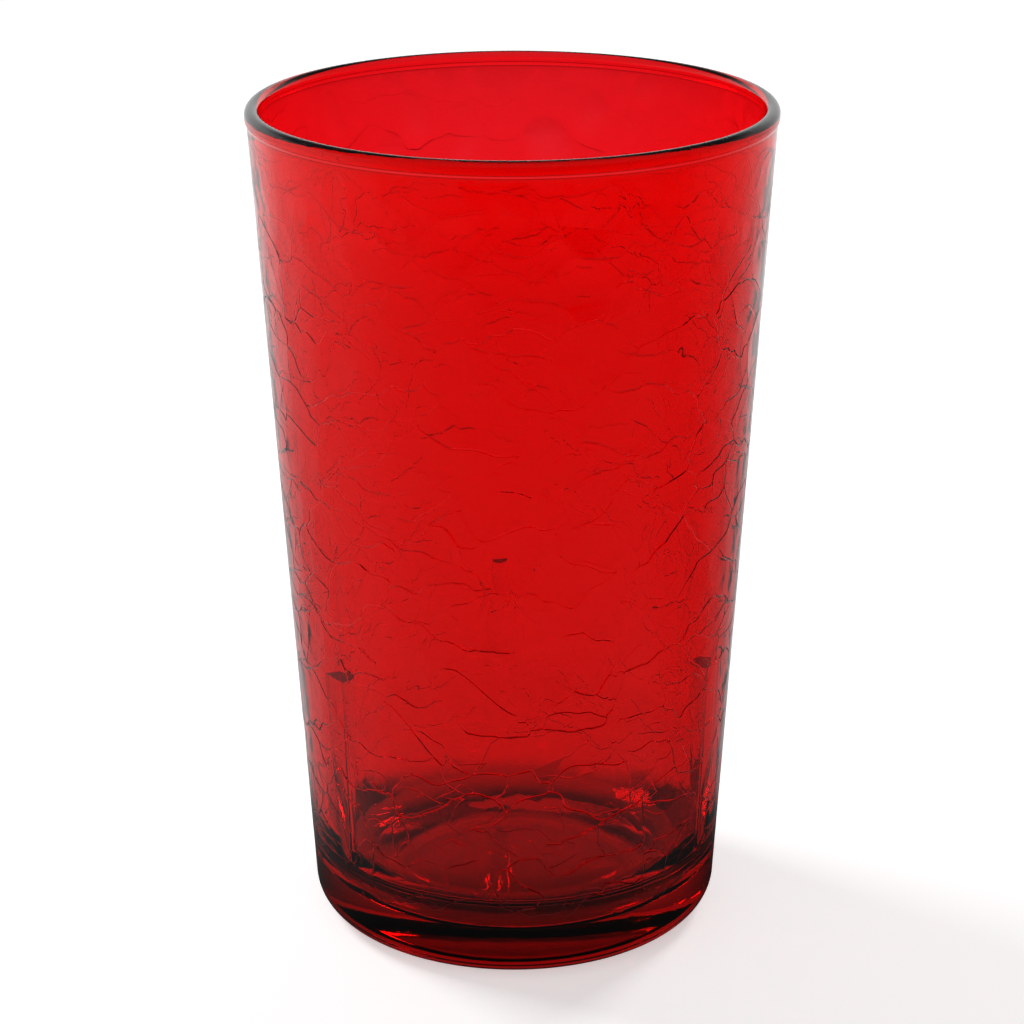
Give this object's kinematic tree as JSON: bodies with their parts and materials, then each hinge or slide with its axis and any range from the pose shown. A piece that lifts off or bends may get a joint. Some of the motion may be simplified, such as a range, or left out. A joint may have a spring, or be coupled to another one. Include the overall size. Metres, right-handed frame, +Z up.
{
  "type": "plastic tumbler",
  "caption": "Tall tapered stackable tumbler in clear red plastic, with a full-round lip, thick floor and upright stacking lugs inside.",
  "frame": {"origin": "on the cup's axis, on the flat surface that its foot stands on", "axes": "+Z up along the cup's axis towards the open mouth, -Y towards the viewer of the reference picture, +X to the viewer's right"},
  "size_m": [0.0815, 0.0814, 0.133],
  "materials": {
    "clear_red_plastic": "glossy clear moulded plastic, with fine raised creases like crackled glass on the outside of the wall"
  },
  "bodies": {
    "root": {"tumbler": "clear_red_plastic"}
  },
  "joints": []
}
